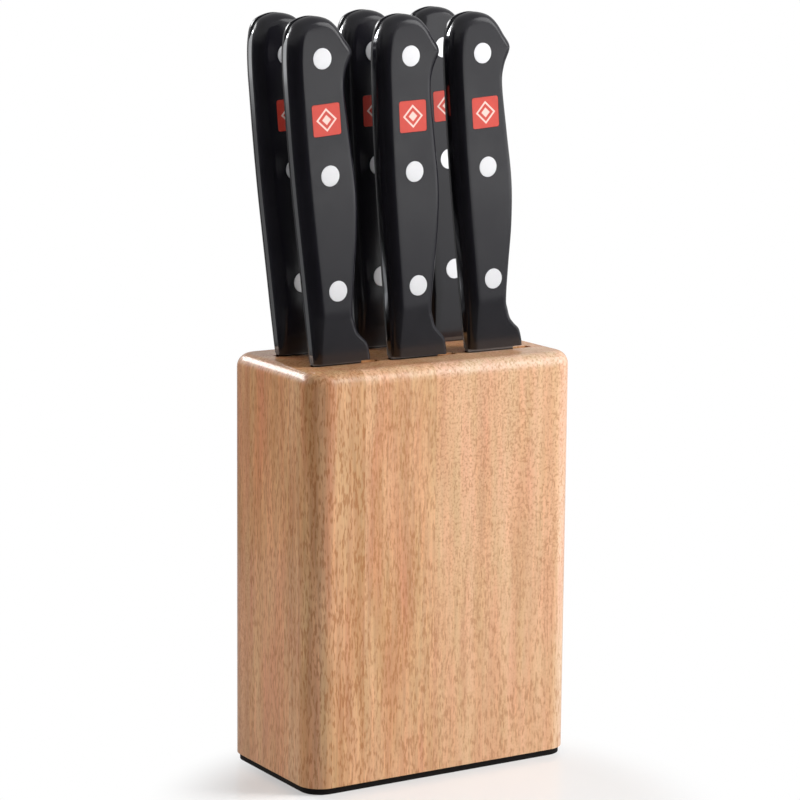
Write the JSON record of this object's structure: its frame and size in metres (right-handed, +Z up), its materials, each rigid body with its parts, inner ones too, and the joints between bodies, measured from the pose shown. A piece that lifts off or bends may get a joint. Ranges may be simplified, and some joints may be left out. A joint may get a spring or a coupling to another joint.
{
  "type": "knife block with knives",
  "caption": "Upright rounded wooden knife block with two rows of slots that hold riveted full-tang table knives with dark handles.",
  "frame": {"origin": "middle of the block's foot, on the surface it stands on", "axes": "+Z up, +X to the right along the block's broad front, +Y to its back; the front faces -Y"},
  "size_m": [0.1013, 0.0548, 0.2475],
  "materials": {
    "wood": "satin",
    "pad_rubber": "matte",
    "steel": "satin",
    "rivet_steel": "polished",
    "handle_black": "satin",
    "inlay_red": "gloss"
  },
  "bodies": {
    "block": {"base_pad": "pad_rubber", "front_stave_left": "wood", "front_stave_middle": "wood", "front_stave_right": "wood", "middle_board": "wood", "back_board": "wood", "front_end_strip_left": "wood", "front_end_strip_right": "wood", "front_divider_left": "wood", "front_divider_right": "wood", "front_slot_rail": "wood", "back_end_strip_left": "wood", "back_end_strip_right": "wood", "back_divider_left": "wood", "back_divider_right": "wood", "back_slot_rail": "wood"},
    "knife_front_left": {"knife_front_left_blade": "steel", "knife_front_left_front_scale": "handle_black", "knife_front_left_back_scale": "handle_black", "knife_front_left_rivet_sleeves": "rivet_steel", "knife_front_left_rivet_pins": "rivet_steel", "knife_front_left_inlay": "inlay_red"},
    "knife_front_middle": {"knife_front_middle_blade": "steel", "knife_front_middle_front_scale": "handle_black", "knife_front_middle_back_scale": "handle_black", "knife_front_middle_rivet_sleeves": "rivet_steel", "knife_front_middle_rivet_pins": "rivet_steel", "knife_front_middle_inlay": "inlay_red"},
    "knife_front_right": {"knife_front_right_blade": "steel", "knife_front_right_front_scale": "handle_black", "knife_front_right_back_scale": "handle_black", "knife_front_right_rivet_sleeves": "rivet_steel", "knife_front_right_rivet_pins": "rivet_steel", "knife_front_right_inlay": "inlay_red"},
    "knife_back_left": {"knife_back_left_blade": "steel", "knife_back_left_front_scale": "handle_black", "knife_back_left_back_scale": "handle_black", "knife_back_left_rivet_sleeves": "rivet_steel", "knife_back_left_rivet_pins": "rivet_steel", "knife_back_left_inlay": "inlay_red"},
    "knife_back_middle": {"knife_back_middle_blade": "steel", "knife_back_middle_front_scale": "handle_black", "knife_back_middle_back_scale": "handle_black", "knife_back_middle_rivet_sleeves": "rivet_steel", "knife_back_middle_rivet_pins": "rivet_steel", "knife_back_middle_inlay": "inlay_red"},
    "knife_back_right": {"knife_back_right_blade": "steel", "knife_back_right_front_scale": "handle_black", "knife_back_right_back_scale": "handle_black", "knife_back_right_rivet_sleeves": "rivet_steel", "knife_back_right_rivet_pins": "rivet_steel", "knife_back_right_inlay": "inlay_red"}
  },
  "joints": [
    {"name": "lift_front_left", "type": "slide", "parent": "block", "child": "knife_front_left", "axis": [-0.0837, 0, 0.9965], "range_m": [0, 0.135]},
    {"name": "lift_front_middle", "type": "slide", "parent": "block", "child": "knife_front_middle", "axis": [-0.0489, 0, 0.9988], "range_m": [0, 0.135]},
    {"name": "lift_front_right", "type": "slide", "parent": "block", "child": "knife_front_right", "axis": [-0.0732, 0, 0.9973], "range_m": [0, 0.135]},
    {"name": "lift_back_left", "type": "slide", "parent": "block", "child": "knife_back_left", "axis": [-0.0837, 0, 0.9965], "range_m": [0, 0.135]},
    {"name": "lift_back_middle", "type": "slide", "parent": "block", "child": "knife_back_middle", "axis": [-0.0489, 0, 0.9988], "range_m": [0, 0.135]},
    {"name": "lift_back_right", "type": "slide", "parent": "block", "child": "knife_back_right", "axis": [-0.0732, 0, 0.9973], "range_m": [0, 0.135]}
  ]
}
